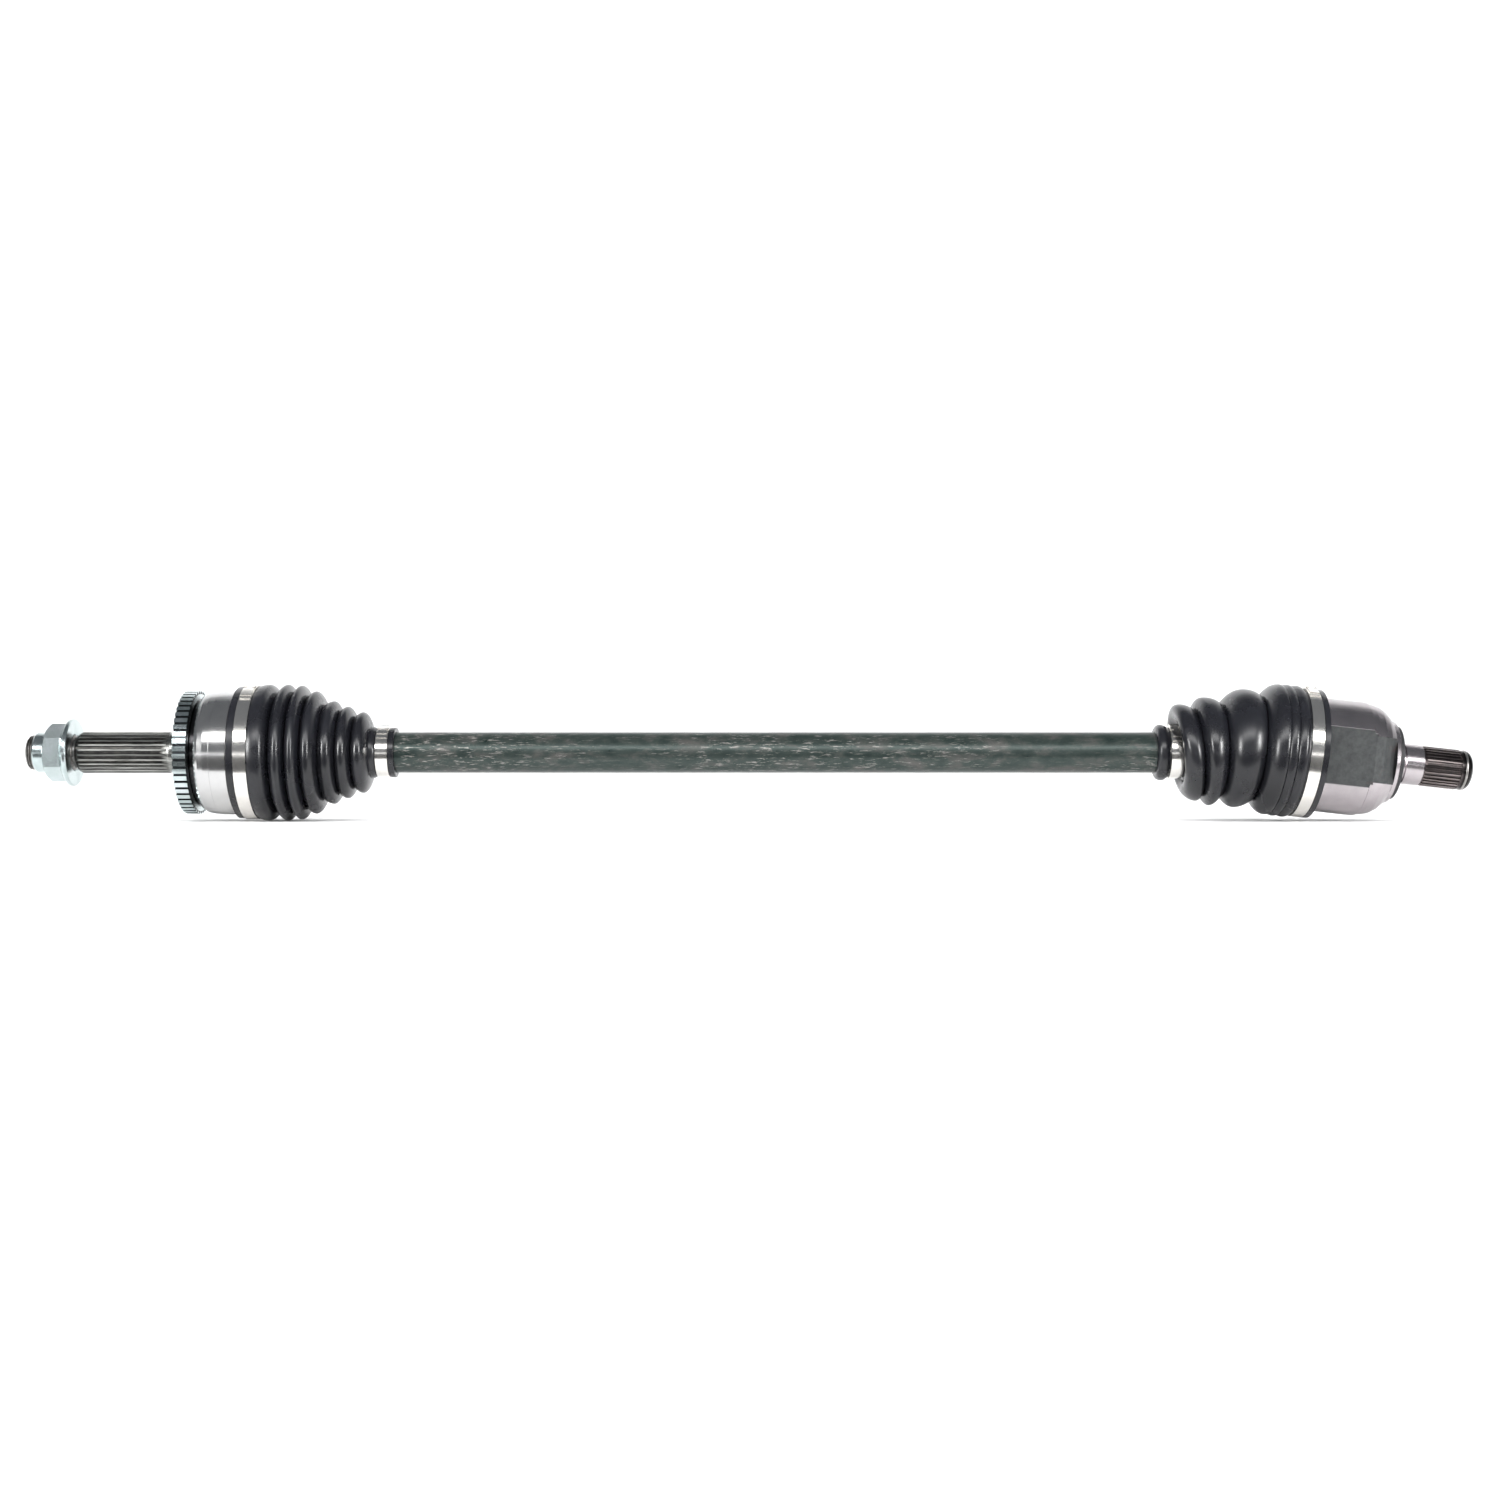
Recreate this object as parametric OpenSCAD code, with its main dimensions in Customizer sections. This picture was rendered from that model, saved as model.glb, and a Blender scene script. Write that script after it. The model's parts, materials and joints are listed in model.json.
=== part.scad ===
// Front-wheel drive shaft: a six-ball fixed joint at the wheel end, a solid bar,
// and a three-roller plunging joint at the gearbox end. The bar lies along +X.
// The origin is on the wheel-end axis, in the plane of the shoulder the hub bears on.

/* [Layout] */
// Distance between the two joint centres
shaft_length = 676.5; // [600:0.5:760]
// Angle by which the gearbox-end joint hangs below the bar
droop = 6.3; // [0:0.1:8]

/* [Wheel end] */
// Hub seat to the centre of the fixed joint
bell_depth = 37; // [36:0.5:40]
// Outside diameter of the bell
bell_d = 79.5; // [79:0.5:84]
// Outside diameter of the hub spline
hub_spline_d = 26.5; // [24:0.5:28]
// Number of hub spline teeth
hub_teeth = 26; // [20:1:32]
// Thread diameter under the hub nut
thread_d = 22; // [20:1:24]
// Hub nut size across its flats
nut_flats = 32; // [30:1:36]
// Number of teeth on the speed sensor ring
tone_teeth = 52; // [40:1:60]

/* [Fixed joint] */
// Ball diameter
ball_d = 14.3; // [13.5:0.1:14.6]
// Radius of the circle of ball centres
ball_orbit = 28; // [27.5:0.1:28.5]

/* [Bar] */
// Diameter of the bar between the boots
bar_d = 26; // [24:0.5:27]
// Diameter of the turned-down necks inside the boots
neck_d = 22; // [20:0.5:22]

/* [Gearbox end] */
// Diameter of the lobed housing
tulip_d = 73; // [72:0.5:76]
// Roller diameter
roller_d = 30; // [28:0.5:30]
// Distance from the bar axis to each roller centre
roller_orbit = 20; // [19.5:0.1:20.5]
// Outside diameter of the gearbox spline
stub_spline_d = 25.6; // [24:0.2:25.8]
// Number of gearbox spline teeth
stub_teeth = 30; // [24:1:32]
// Diameter of the oil seal journal
journal_d = 26; // [26:0.1:28]

/* [Hidden] */

bell_r = bell_d / 2;
ball_r = ball_d / 2;
bar_r = bar_d / 2;
neck_r = neck_d / 2;
tulip_r = tulip_d / 2;
roller_r = roller_d / 2;
ball_count = 6;
inner_x = bell_depth + shaft_length;
$fn = 96;

// Wheel-end stub, measured from the hub seat
stem_spline_end = -13;
stem_spline_start = -66.5;
thread_start = -68;
thread_end = -99;
thread_pitch = 1.5;
thread_depth = 0.92;
nut_top = -94.5;
nut_collar_base = -87;
nut_hex_base = -75.2;
nut_seat = -70;

// Speed sensor ring, pressed on the back of the bell, measured from the hub seat
ring_seat_r = 34.2;
tone_ring_end = 10.4;

// Fixed joint, measured from its centre
cage_out_r = 31.2;
cage_in_r = 25;
race_r = 24.7;
cage_half = 13;
race_half = 11;
bell_bore_r = 31.5;
bell_floor = -24;
bell_mouth = 14;
race_groove_gap = 1.0;
bell_groove_gap = 2.1;
race_bore_r = 11.5;
track_reach = 42;

// Boots: points [x, radius] at each peak and valley, from the fixed joint centre
outer_boot_line = [
    [-1.3, 42.0], [3.0, 42.0], [3.4, 41.85], [11.6, 41.85], [12.2, 42.2], [18, 43.3],
    [23.8, 36.5], [29.5, 43.5], [34, 37], [38.4, 42.9], [43, 35], [47.5, 39.2],
    [53.2, 30], [58.8, 32.9], [63.2, 26], [67.6, 29.4], [72.5, 22.5], [77.4, 25.9],
    [83, 16.5], [86.7, 15.0], [94.8, 15.0], [95.4, 16.0], [98.2, 16.0], [98.6, 15.4]
];
// The gearbox-end boot from the plunging joint centre: its neck, its folds and its cuff
inner_neck_line = [
    [-93.5, 16.6], [-92.6, 17.5], [-86.4, 17.5], [-85.2, 15.9], [-76.2, 15.9], [-76.1, 17.2]
];
inner_fold_line = [[-72.4, 31], [-66.6, 27.6], [-61, 34.6], [-51.6, 29.5]];
inner_cuff_line = [
    [-51.4, 29.5], [-40, 37.9], [-29, 33.8], [-17.5, 42], [-9.5, 42.2], [-4.6, 40.9], [-3.6, 40.5],
    [4.2, 40.5], [4.8, 41.2], [7.9, 41.2]
];
// The first fold bulges back over the small clamp, as an elliptical arc from its foot to its crest
bulge_centre = [-72.4, 24.5];
bulge_size = [6.6, 6.5];
bulge_foot = 250;
bulge_steps = 8;
// The folds lean back at the top, most at the first one
lean_share = 0.38;
lean_fade = 4;
lean_from = -73;
lean_to = -14;
lean_base_r = 17;
boot_wall = 2.6;
boot_sides = 30;
steps_per_fold = 4;
bend_from = -72;
bend_to = -18;

// Plunging joint, measured from its centre along the housing axis
tulip_mouth = -20.5;
tulip_floor = 42;
tulip_end = 59.5;
tulip_flat = 32;
flat_end = 39;
adapter_r = 38.4;
track_gap = 1.6;
track_roof = 29.3;
hub_bore_r = 18.5;
flare_mouth_r = 28.6;
flare_end = 3.9;
journal_start = 65;
journal_end = 76;
stub_spline_end = 100;
stub_end = 108.7;
trunnion_r = 7.5;
needle_r = 1;
needle_count = 24;
roller_half = 5;
spider_hub_r = 14.2;
spider_half = 10;
trunnion_tip = 27.3;
spider_bore_r = 10.5;
stop_ring_r = 29.9;
stop_ring_x = -18.5;

// Round-wire retaining rings: the wire's radius and that of its groove
ring_wire_r = 0.85;
ring_groove_r = 0.87;

// Places a piece that is drawn about Z along the bar, its +Z pointing to the gearbox
module along_x(x = 0) {
    translate([x, 0, 0]) rotate([0, 90, 0]) children();
}

// The housing frame of the plunging joint: origin at its centre, X along the drooped axis
module inner_frame() {
    translate([inner_x, 0, 0]) rotate([0, droop, 0]) children();
}

// A ring about X from x0 to x1
module ring_x(x0, x1, r_in, r_out) {
    along_x(x0) difference() {
        cylinder(h = x1 - x0, r = r_out);
        translate([0, 0, -1]) cylinder(h = x1 - x0 + 2, r = r_in);
    }
}

// A ring of round wire about X
module wire_ring_x(x, r, wire_r, gap_angle = 24) {
    along_x(x) rotate([0, 0, 90 + gap_angle / 2])
        rotate_extrude(angle = 360 - gap_angle) translate([r, 0]) circle(r = wire_r, $fn = 24);
}

// The solid of revolution about X whose outline is a list of [x, radius]
module turned(outline) {
    along_x() rotate_extrude()
        polygon(concat([[0, outline[0][0]]], [for (p = outline) [p[1], p[0]]],
            [[0, outline[len(outline) - 1][0]]]));
}

// Spline teeth along X, standing on a core; both ends fade out at 30 degrees
module spline_bar(x0, x1, r_out, depth, teeth) {
    pitch = 360 / teeth;
    root = r_out - depth;
    along_x(x0) intersection() {
        linear_extrude(height = x1 - x0)
            polygon([for (i = [0 : teeth - 1]) for (c = [[-0.34, root], [-0.17, r_out],
                [0.17, r_out], [0.34, root]]) [c[1] * cos((i + c[0]) * pitch),
                c[1] * sin((i + c[0]) * pitch)]]);
        union() {
            cylinder(h = depth * 1.7, r1 = root - 0.01, r2 = r_out + 0.01);
            translate([0, 0, depth * 1.7]) cylinder(h = x1 - x0, r = r_out + 0.01);
        }
    }
}

// Smooth outline through a list of peaks and valleys, as [x, radius] pairs
function eased(a, b, t) = [a[0] + (b[0] - a[0]) * t, a[1] + (b[1] - a[1]) * (1 - cos(180 * t)) / 2];
function smooth_line(line) = concat([for (i = [0 : len(line) - 2])
    for (k = [0 : steps_per_fold - 1]) eased(line[i], line[i + 1], k / steps_per_fold)],
    [line[len(line) - 1]]);

// The points of a list in the opposite order
function backward(line) = [for (i = [len(line) - 1 : -1 : 0]) line[i]];

// The line that lies a wall's thickness inside an outline, never tighter than a bore
function wall_line(line, wall, bore) = [for (i = [0 : len(line) - 1]) let (
    a = line[max(i - 1, 0)], b = line[min(i + 1, len(line) - 1)],
    along = (b - a) / norm(b - a), p = line[i] + wall * [along[1], -along[0]])
    [p[0], max(p[1], bore)]];

// ---------- hub nut and wheel-end stub ----------

module hub_nut() {
    collar_r = 12.6;
    flange_r = 21.5;
    color("lightgray") difference() {
        union() {
            along_x(nut_top) cylinder(h = 1, r1 = collar_r - 0.8, r2 = collar_r);
            ring_x(nut_top + 1, nut_collar_base, thread_d / 2 - 1, collar_r);
            intersection() {
                along_x(nut_collar_base)
                    cylinder(h = nut_seat - nut_collar_base - 1, d = nut_flats / cos(30), $fn = 6);
                turned([[nut_collar_base, nut_flats / 2 - 0.8], [nut_collar_base + 2.2, 18.6],
                    [nut_seat, 18.6]]);
            }
            turned([[nut_hex_base, flange_r - 3.2], [nut_hex_base + 2.4, flange_r - 0.4],
                [nut_hex_base + 3, flange_r], [nut_seat - 0.6, flange_r], [nut_seat, flange_r - 0.6]]);
        }
        along_x(nut_top - 1) cylinder(h = nut_seat - nut_top + 2, r = thread_d / 2 + 0.05);
        along_x(nut_seat - 1.2) cylinder(h = 1.4, r1 = thread_d / 2, r2 = thread_d / 2 + 1.4);
    }
}

// V grooves cut round the threaded end
module thread_grooves() {
    turns = floor((thread_start - thread_end - 3) / thread_pitch);
    for (i = [0 : turns - 1])
        along_x(thread_end + 1.6 + i * thread_pitch) rotate_extrude()
            polygon([[thread_d / 2 - thread_depth, 0], [thread_d / 2 + 0.1, -thread_pitch * 0.42],
                [thread_d / 2 + 0.1, thread_pitch * 0.42]]);
}

module stem() {
    spline_depth = 1.15;
    root_r = hub_spline_d / 2 - spline_depth;
    difference() {
        turned([[thread_end, thread_d / 2 - 1.3], [thread_end + 1.3, thread_d / 2],
            [thread_start - 2.2, thread_d / 2], [thread_start - 1.2, thread_d / 2 - 1.1],
            [thread_start, thread_d / 2 - 1.1], [stem_spline_start + 0.4, root_r],
            [stem_spline_end, root_r], [stem_spline_end + 6, hub_spline_d / 2],
            [-4, hub_spline_d / 2], [0, hub_spline_d / 2 + 2.5], [1, hub_spline_d / 2 + 2.5]]);
        thread_grooves();
        along_x(thread_end - 1) cylinder(h = 5, r1 = 5.5, r2 = 1);
    }
    spline_bar(stem_spline_start, stem_spline_end + 4, hub_spline_d / 2, spline_depth + 0.2,
        hub_teeth);
}

// ---------- fixed joint ----------

// The half space from a given x toward the gearbox
module beyond_x(x) {
    translate([x, -60, -60]) cube([120, 120, 120]);
}

// The six ball tracks: arcs about the joint centre, each in a plane through the axis
module ball_tracks(gap) {
    for (k = [0 : ball_count - 1])
        rotate([k * 360 / ball_count, 0, 0]) rotate([90, 0, 0])
            rotate([0, 0, 90 - track_reach]) rotate_extrude(angle = 2 * track_reach)
                translate([ball_orbit, 0]) circle(r = ball_r + gap, $fn = 48);
}

// Points of a sphere's outline from one x to another, as [x, radius]
function sphere_line(r, x0, x1, count = 16) = let (a0 = acos(x0 / r), a1 = acos(x1 / r))
    [for (i = [0 : count]) let (a = a0 + (a1 - a0) * i / count) [r * cos(a), r * sin(a)]];

module outer_joint_housing() {
    c = bell_depth;
    color("silver") difference() {
        union() {
            stem();
            turned([[0, 27], [2.0, ring_seat_r], [tone_ring_end + 0.2, ring_seat_r],
                [tone_ring_end + 0.8, 33], [14.4, 33], [14.7, 37.2], [17.2, 38.6], [20.5, 39.2],
                [24.4, 39.3], [24.7, bell_r], [c - 2, bell_r],
                [c - 1.6, bell_r - 0.9], [c + 11.8, bell_r - 0.9], [c + 12.1, bell_r],
                [c + bell_mouth, bell_r]]);
        }
        translate([c, 0, 0]) turned(sphere_line(bell_bore_r, bell_floor, bell_mouth + 2, 24));
        intersection() {
            translate([c, 0, 0]) ball_tracks(bell_groove_gap);
            beyond_x(c + bell_floor);
        }
        along_x(c + 6) cylinder(h = bell_mouth - 5.9, r1 = 30, r2 = 34);
    }
}

module abs_tone_ring() {
    root_r = 37.6;
    tip_r = 39.3;
    ring_start = 2.0;
    slot = PI * tip_r / tone_teeth * 0.72;
    color("gainsboro") difference() {
        ring_x(ring_start, tone_ring_end, ring_seat_r, tip_r);
        for (i = [0 : tone_teeth - 1])
            rotate([i * 360 / tone_teeth, 0, 0])
                translate([ring_start - 1, -slot / 2, root_r]) cube([tone_ring_end + 1, slot, 4]);
    }
}

module outer_inner_race() {
    color("dimgray") translate([bell_depth, 0, 0]) difference() {
        turned(sphere_line(race_r, -race_half, race_half));
        along_x(-race_half - 1) cylinder(h = 2 * race_half + 2, r = race_bore_r);
        ball_tracks(race_groove_gap);
    }
}

module outer_race_circlip() {
    color("gray") wire_ring_x(bell_depth - race_half - 0.9, race_bore_r - 0.6, ring_wire_r);
}

module outer_cage() {
    window = ball_r + 0.08;
    color("slategray") translate([bell_depth, 0, 0]) difference() {
        turned(sphere_line(cage_out_r, -cage_half, cage_half));
        turned(sphere_line(cage_in_r, -cage_half - 1, cage_half + 1));
        for (k = [0 : ball_count - 1])
            rotate([k * 360 / ball_count, 0, 0]) cylinder(h = 40, r = window);
    }
}

module outer_ball(k) {
    color("lightsteelblue") translate([bell_depth, 0, 0])
        rotate([(k - 1) * 360 / ball_count, 0, 0])
            translate([0, 0, ball_orbit]) sphere(r = ball_r);
}

// ---------- clamps ----------

band_wall = 0.8;
module band(x0, x1, r) {
    ring_x(x0, x1, r, r + band_wall);
}

// An arc of strap on top of a band, between two angles that run from the top to the front
module strap_arc(x0, x1, r, rise, from, to) {
    along_x(x0) rotate([0, 0, 180 + from]) rotate_extrude(angle = to - from)
        translate([r, 0]) square([rise, x1 - x0]);
}

// A strap folded back over a band: a plate with a rolled end and two bent tabs, a slot, and
// the bar that the strap passes behind. Each layer starts a little inside the one below it.
module buckle(x0, x1, r, from, to) {
    bar_from = to + degrees_on(r, 1.6);
    bar_to = bar_from + degrees_on(r, 1.5);
    tab_from = (from + to) / 2;
    tab_to = tab_from + degrees_on(r, 3.2);
    tab_width = 2;
    lap = 0.2;
    roll_r = 0.85;
    strap_arc(x0 + 0.5, x1 - 0.5, r, 0.45, from + 1, bar_to + 0.6);
    strap_arc(x0 + 0.7, x1 - 0.7, r + lap, 1.0, from, to);
    strap_arc(x0 + 0.7, x1 - 0.7, r + lap, 0.8, bar_from, bar_to);
    for (side = [x0 + 0.3, x1 - 0.3 - tab_width])
        strap_arc(side, side + tab_width, r + 2 * lap, 1.25, tab_from, tab_to);
    rotate([from, 0, 0]) translate([x0 + 1, 0, r + roll_r + 0.05]) rotate([0, 90, 0])
        cylinder(h = x1 - x0 - 2, r = roll_r);
}
function degrees_on(r, length) = length / r * 180 / PI;

// Where each band sits along its boot, [from, to], and the radius under it. The wheel-end bands
// are measured from the fixed joint centre, the gearbox-end ones from the plunging joint centre.
outer_large_band = [3.5, 11.5];
outer_large_r = 41.85;
outer_small_band = [87, 94.6];
outer_small_r = 15.0;
inner_large_band = [-3.4, 4.1];
inner_large_r = 40.5;
inner_small_band = [-85, -77];
inner_small_r = 15.9;

// A band, and its buckle between two angles from the top toward the front, on a [from, to] seat
module band_on(seat, r) {
    color("silver") band(seat[0], seat[1], r);
}
module buckle_on(seat, r, from, to) {
    color("silver") buckle(seat[0], seat[1], r + band_wall, from, to);
}

module outer_large_clamp() {
    translate([bell_depth, 0, 0]) band_on(outer_large_band, outer_large_r);
}
module outer_large_clamp_buckle() {
    translate([bell_depth, 0, 0]) buckle_on(outer_large_band, outer_large_r, -4, 34);
}
module outer_small_clamp() {
    translate([bell_depth, 0, 0]) band_on(outer_small_band, outer_small_r);
}
module outer_small_clamp_buckle() {
    translate([bell_depth, 0, 0]) buckle_on(outer_small_band, outer_small_r, -6, 44);
}
module inner_large_clamp() {
    inner_frame() band_on(inner_large_band, inner_large_r);
}
module inner_large_clamp_buckle() {
    inner_frame() buckle_on(inner_large_band, inner_large_r, -10, 26);
}
module inner_small_clamp() {
    translate([inner_x, 0, 0]) band_on(inner_small_band, inner_small_r);
}
module inner_small_clamp_buckle() {
    translate([inner_x, 0, 0]) buckle_on(inner_small_band, inner_small_r, -4, 54);
}

// ---------- boots ----------

module outer_boot() {
    cuff = bell_r + 0.1;
    line = smooth_line(outer_boot_line);
    cuff_end = bell_mouth + 0.3;
    neck_start = 85;
    inner = [for (p = line) [p[0], p[0] < cuff_end ? cuff
        : p[0] > neck_start ? bar_r : max(p[1] - boot_wall, bar_r)]];
    color("#1b1d20") along_x(bell_depth) rotate_extrude()
        polygon([for (p = concat(line, backward(inner))) [p[1], p[0]]]);
}

// Where a point of the gearbox-end boot lies: it leaves the bar axis and turns smoothly onto
// the housing axis, and its folds lean
function bend_share(x) = let (t = min(max((x - bend_from) / (bend_to - bend_from), 0), 1))
    t * t * (3 - 2 * t);
function lean(x, r) = lean_share * max(r - lean_base_r, 0)
    * pow(1 - min(max((x - lean_from) / (lean_to - lean_from), 0), 1), lean_fade);
function bent(x, r, a) = let (b = droop * bend_share(x), z = r * sin(a), u = x - lean(x, r) * sin(a))
    [inner_x + u * cos(b) + z * sin(b), r * cos(a), -u * sin(b) + z * cos(b)];

// One closed length of the bent boot, from its outside and its inside line
module boot_length(outer, inner) {
    loop = concat(outer, backward(inner));
    n = len(loop);
    s = boot_sides;
    points = [for (p = loop) for (k = [0 : s - 1]) bent(p[0], p[1], 360 * k / s)];
    quads = [for (i = [0 : n - 1]) for (k = [0 : s - 1]) let (j = (i + 1) % n, m = (k + 1) % s)
        [i * s + k, j * s + k, j * s + m, i * s + m]];
    color("#1b1d20") polyhedron(points = points, faces = quads, convexity = 8);
}

// Flat facets stand closer to the axis than their corners: the radius that still clears r
function clear_of(r) = r / cos(180 / boot_sides) + 0.03;

module inner_boot_front() {
    bulge = [for (i = [0 : bulge_steps - 1])
        let (a = bulge_foot + (90 - bulge_foot) * i / bulge_steps)
        bulge_centre + [bulge_size[0] * cos(a), bulge_size[1] * sin(a)]];
    folds = concat(bulge, smooth_line(inner_fold_line));
    bore = clear_of(bar_r);
    neck_inner = [for (p = inner_neck_line) [p[0], bore]];
    boot_length(concat(inner_neck_line, folds), concat(neck_inner, wall_line(folds, boot_wall, bore)));
}
module inner_boot_rear() {
    line = smooth_line(inner_cuff_line);
    cuff_start = -7.6;
    inner = [for (p = line) [p[0], p[0] > cuff_start ? clear_of(adapter_r) : p[1] - boot_wall]];
    boot_length(line, inner);
}

// ---------- bar ----------

module axle_shaft() {
    c = bell_depth;
    spline_r = race_bore_r;
    outer_end = c - race_half - 4;
    inner_end = inner_x + spider_half + 3.6;
    color("#2a332f") difference() {
        turned([[outer_end, spline_r - 1.6], [outer_end + 1, spline_r - 0.05],
            [c + race_half, spline_r - 0.05], [c + race_half + 1, neck_r - 0.5],
            [c + 56, neck_r], [c + 68, bar_r], [inner_x - 74, bar_r], [inner_x - 66, neck_r],
            [inner_x - spider_half - 4.2, neck_r], [inner_x - spider_half - 3.4, spider_bore_r - 0.05],
            [inner_end - 1, spider_bore_r - 0.05], [inner_end, spider_bore_r - 1.2]]);
        wire_groove(c - race_half - 0.9, race_bore_r - 0.6, ring_groove_r);
        wire_groove(inner_x - spider_half - 1, spider_bore_r - 0.5, ring_groove_r);
        wire_groove(inner_x + spider_half + 1, spider_bore_r - 0.5, ring_groove_r);
    }
}
module wire_groove(x, r, wire_r) {
    along_x(x) rotate_extrude() translate([r, 0]) circle(r = wire_r, $fn = 24);
}

// ---------- plunging joint ----------

// Directions of the three trunnions about the bar; the first points to +Y
function arm_turn(k) = -90 + 120 * (k - 1);

module on_arm(k) {
    translate([inner_x, 0, 0]) rotate([arm_turn(k), 0, 0]) children();
}

module tripod_spider() {
    color("dimgray") difference() {
        union() {
            ring_x(inner_x - spider_half, inner_x + spider_half, spider_bore_r, spider_hub_r);
            for (k = [1 : 3]) on_arm(k) translate([0, 0, spider_bore_r + 1])
                cylinder(h = trunnion_tip - spider_bore_r - 1, r = trunnion_r);
        }
        for (k = [1 : 3]) on_arm(k) translate([0, 0, snap_z]) rotate_extrude()
            translate([trunnion_r - 0.5, 0]) square([2, snap_wall]);
        along_x(inner_x - 40) cylinder(h = 80, r = spider_bore_r);
    }
}
washer_z = roller_orbit + roller_half + 0.15;
washer_wall = 0.8;
snap_z = washer_z + washer_wall;
snap_wall = 0.9;

module tripod_roller(k) {
    bore = trunnion_r + 2 * needle_r + 0.08;
    color("silver") on_arm(k) translate([0, 0, roller_orbit]) difference() {
        intersection() {
            sphere(r = roller_r);
            translate([0, 0, -roller_half]) cylinder(h = 2 * roller_half, r = roller_r + 1);
        }
        translate([0, 0, -20]) cylinder(h = 40, r = bore);
    }
}

module roller_needles(k) {
    gap = 0.04;
    color("lightsteelblue") on_arm(k)
        for (i = [0 : needle_count - 1]) rotate([0, 0, i * 360 / needle_count])
            translate([trunnion_r + needle_r + gap, 0, roller_orbit - roller_half + 0.6])
                cylinder(h = 2 * roller_half - 1.2, r = needle_r - 0.01, $fn = 24);
}

module roller_washer(k) {
    color("gray") on_arm(k) translate([0, 0, washer_z]) difference() {
        cylinder(h = washer_wall - 0.05, r = 10.8);
        translate([0, 0, -1]) cylinder(h = 3, r = trunnion_r + 0.05);
    }
}

module roller_snap_ring(k) {
    color("gray") on_arm(k) translate([0, 0, snap_z + 0.03])
        rotate([0, 0, 20]) rotate_extrude(angle = 320)
            translate([trunnion_r - 0.45, 0]) square([1.5, snap_wall - 0.06]);
}

module spider_circlip(side) {
    color("gray") wire_ring_x(inner_x + side * (spider_half + 1), spider_bore_r - 0.5, ring_wire_r);
}

// What the three flats take off the housing between x0 and x1, a gap further out
module tulip_flats(x0, x1, gap) {
    for (k = [0 : 2]) rotate([120 * k, 0, 0])
        translate([x0, -tulip_flat - gap - 20, -25]) cube([x1 - x0, 20, 50]);
}

// Each flat runs on over the rounded shoulder as a narrower pocket
module shoulder_recesses() {
    half_width = 14.6;
    for (k = [0 : 2]) rotate([120 * k, 0, 0]) linear_extrude(height = 2 * half_width, center = true)
        polygon([[flat_end - 1, -tulip_flat], [flat_end, -tulip_flat], [45, -30.8], [49.5, -28.2],
            [52.8, -24.9], [54.2, -23.8], [54.2, -60], [flat_end - 1, -60]]);
}

module inner_joint_housing() {
    color("silver") inner_frame() difference() {
        union() {
            difference() {
                turned([[tulip_mouth, tulip_r - 1], [tulip_mouth + 1, tulip_r], [37, tulip_r],
                    [37.6, tulip_r - 0.9], [41, tulip_r - 1.1], [45.5, tulip_r - 2.2],
                    [49.5, tulip_r - 4.6], [53, tulip_r - 8], [54, 27.2], [56.6, 26.2],
                    [58.2, 23.6], [58.2, 17], [60.2, 16], [tulip_end + 1.6, 12.2], [64.2, 12.2],
                    [journal_start, journal_d / 2], [journal_end, journal_d / 2],
                    [journal_end + 0.6, stub_spline_d / 2 - 0.9],
                    [stub_spline_end, stub_spline_d / 2 - 0.9],
                    [stub_spline_end + 0.4, stub_spline_d / 2 - 0.3],
                    [stub_end - 3.6, stub_spline_d / 2 - 0.3], [stub_end - 2, stub_spline_d / 2 - 1.2],
                    [stub_end - 0.8, stub_spline_d / 2 - 2.8], [stub_end, stub_spline_d / 2 - 5]]);
                tulip_flats(tulip_mouth - 1, flat_end, 0);
                shoulder_recesses();
            }
            spline_bar(journal_end + 0.3, stub_spline_end, stub_spline_d / 2, 1.1, stub_teeth);
        }
        tulip_cavity();
        wire_groove(stop_ring_x, stop_ring_r, 1.05);
        wire_groove(stub_end - 5, stub_spline_d / 2 - 0.7, 0.9);
        along_x(stub_end - 4) cylinder(h = 5, r1 = 1, r2 = 4.4);
    }
}
// The hub space with three roller tracks, flared at the mouth
module tulip_cavity() {
    length = tulip_floor - tulip_mouth + 1;
    along_x(tulip_mouth - 1) cylinder(h = length, r = hub_bore_r);
    along_x(tulip_mouth - 0.01) cylinder(h = flare_end - tulip_mouth, r1 = flare_mouth_r, r2 = hub_bore_r);
    for (k = [1 : 3]) rotate([arm_turn(k), 0, 0]) intersection() {
        translate([tulip_mouth - 1, 0, roller_orbit - 0.6]) rotate([0, 90, 0])
            cylinder(h = length, r = roller_r + track_gap);
        translate([tulip_mouth - 1, -20, 0]) cube([length, 40, track_roof]);
    }
}

module tulip_stop_ring() {
    color("gray") inner_frame() wire_ring_x(stop_ring_x, stop_ring_r, 1.0, 14);
}

module inner_boot_adapter() {
    color("#26282b") inner_frame() difference() {
        ring_x(-7, 7.4, tulip_flat + 0.08, adapter_r);
        difference() {
            along_x(-8) cylinder(h = 17, r = tulip_r + 0.08);
            tulip_flats(-9, 10, 0.08);
        }
    }
}

module inner_dust_ring() {
    color("#2c2a2c") inner_frame() ring_x(58.3, 60.0, 17.1, 23.4);
}

module stub_circlip() {
    color("gray") inner_frame() wire_ring_x(stub_end - 5, stub_spline_d / 2 - 0.75, ring_wire_r);
}

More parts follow.
